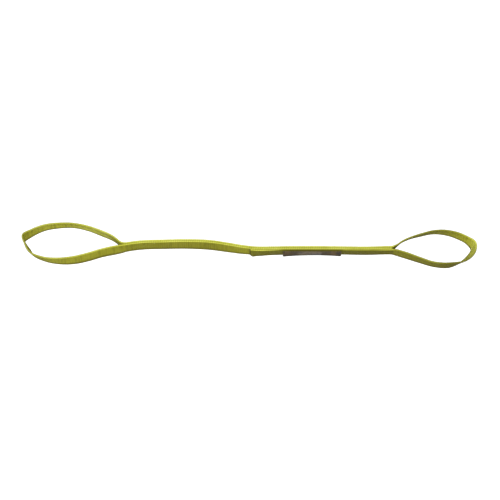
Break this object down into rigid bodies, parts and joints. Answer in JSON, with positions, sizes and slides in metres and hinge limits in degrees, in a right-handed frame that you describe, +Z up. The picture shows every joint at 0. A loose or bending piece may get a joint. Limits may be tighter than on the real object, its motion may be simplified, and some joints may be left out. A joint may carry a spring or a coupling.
{
  "type": "eye-and-eye web sling",
  "caption": "Flat webbing lifting sling with a soft eye at each end, sewn body and sewn-on tag, lying on its edge.",
  "frame": {"origin": "on the floor, under the middle of the sling's overall length and width", "axes": "+X along the sling towards the tagged half, +Y away from the tagged face, +Z up the webbing's width"},
  "size_m": [1.1683, 0.1276, 0.05],
  "materials": {
    "webbing": "ribbed olive-yellow polyester webbing, matt with a slight sheen on the edges",
    "thread": "bonded polyester thread, close to the webbing's colour",
    "label": "worn dark brown woven tag with a bluish-grey middle"
  },
  "bodies": {
    "right_body": {"right_front_ply": "webbing", "right_inner_ply": "webbing", "right_back_ply": "webbing", "right_edge_rows": "thread", "splice_stitches": "thread", "label": "label", "label_stitches": "thread"},
    "middle_body": {"middle_front_ply": "webbing", "middle_back_ply": "webbing", "middle_edge_rows": "thread"},
    "left_body": {"left_front_ply": "webbing", "left_back_ply": "webbing", "left_edge_rows": "thread"},
    "left_throat": {"left_throat_front_ply": "webbing", "left_throat_back_ply": "webbing", "left_throat_stitches": "thread"},
    "right_throat": {"right_throat_front_ply": "webbing", "right_throat_inner_ply": "webbing", "right_throat_back_ply": "webbing", "right_throat_stitches": "thread"},
    "left_near_leg": {"left_eye_near_leg": "webbing"},
    "left_near_tip": {"left_eye_near_tip": "webbing"},
    "left_far_tip": {"left_eye_far_tip": "webbing"},
    "left_far_leg": {"left_eye_far_leg": "webbing"},
    "right_near_leg": {"right_eye_near_leg": "webbing"},
    "right_near_tip": {"right_eye_near_tip": "webbing"},
    "right_far_tip": {"right_eye_far_tip": "webbing"},
    "right_far_leg": {"right_eye_far_leg": "webbing"}
  },
  "joints": [
    {"name": "middle_flex", "type": "hinge", "parent": "right_body", "child": "middle_body", "pos_m": [-0.015, -0.011, 0.025], "axis": [0, 0, 1], "range_deg": [-30, 30]},
    {"name": "left_flex", "type": "hinge", "parent": "middle_body", "child": "left_body", "pos_m": [-0.165, 0.0052, 0.025], "axis": [0, 0, 1], "range_deg": [-30, 30]},
    {"name": "left_throat_flex", "type": "hinge", "parent": "left_body", "child": "left_throat", "pos_m": [-0.275, 0.0025, 0.025], "axis": [0, 0, 1], "range_deg": [-30, 30]},
    {"name": "right_throat_flex", "type": "hinge", "parent": "right_body", "child": "right_throat", "pos_m": [0.31, -0.0135, 0.025], "axis": [0, 0, 1], "range_deg": [-30, 30]},
    {"name": "left_eye_open", "type": "hinge", "parent": "left_throat", "child": "left_near_leg", "pos_m": [-0.325, -0.006, 0.025], "axis": [0, 0, 1], "range_deg": [-9, 18]},
    {"name": "left_eye_near_bend", "type": "hinge", "parent": "left_near_leg", "child": "left_near_tip", "pos_m": [-0.451, -0.0402, 0.025], "axis": [0, 0, 1], "range_deg": [-36, 18]},
    {"name": "left_eye_tip_bend", "type": "hinge", "parent": "left_near_tip", "child": "left_far_tip", "pos_m": [-0.5821, 0.0237, 0.025], "axis": [0, 0, 1], "range_deg": [-18, 36]},
    {"name": "left_eye_far_bend", "type": "hinge", "parent": "left_far_tip", "child": "left_far_leg", "pos_m": [-0.4561, 0.0579, 0.025], "axis": [0, 0, 1], "range_deg": [-36, 18]},
    {"name": "right_eye_open", "type": "hinge", "parent": "right_throat", "child": "right_near_leg", "pos_m": [0.37, -0.012, 0.025], "axis": [0, 0, -1], "range_deg": [-9, 18]},
    {"name": "right_eye_near_bend", "type": "hinge", "parent": "right_near_leg", "child": "right_near_tip", "pos_m": [0.4715, -0.0522, 0.025], "axis": [0, 0, -1], "range_deg": [-36, 18]},
    {"name": "right_eye_tip_bend", "type": "hinge", "parent": "right_near_tip", "child": "right_far_tip", "pos_m": [0.5738, -0.0015, 0.025], "axis": [0, 0, -1], "range_deg": [-18, 36]},
    {"name": "right_eye_far_bend", "type": "hinge", "parent": "right_far_tip", "child": "right_far_leg", "pos_m": [0.4723, 0.0387, 0.025], "axis": [0, 0, -1], "range_deg": [-36, 18]}
  ],
  "couplings": [
    {"joint": "left_eye_near_bend", "follows": "left_eye_open", "ratio": -2},
    {"joint": "left_eye_tip_bend", "follows": "left_eye_open", "ratio": 2},
    {"joint": "left_eye_far_bend", "follows": "left_eye_open", "ratio": -2},
    {"joint": "right_eye_near_bend", "follows": "right_eye_open", "ratio": -2},
    {"joint": "right_eye_tip_bend", "follows": "right_eye_open", "ratio": 2},
    {"joint": "right_eye_far_bend", "follows": "right_eye_open", "ratio": -2}
  ]
}
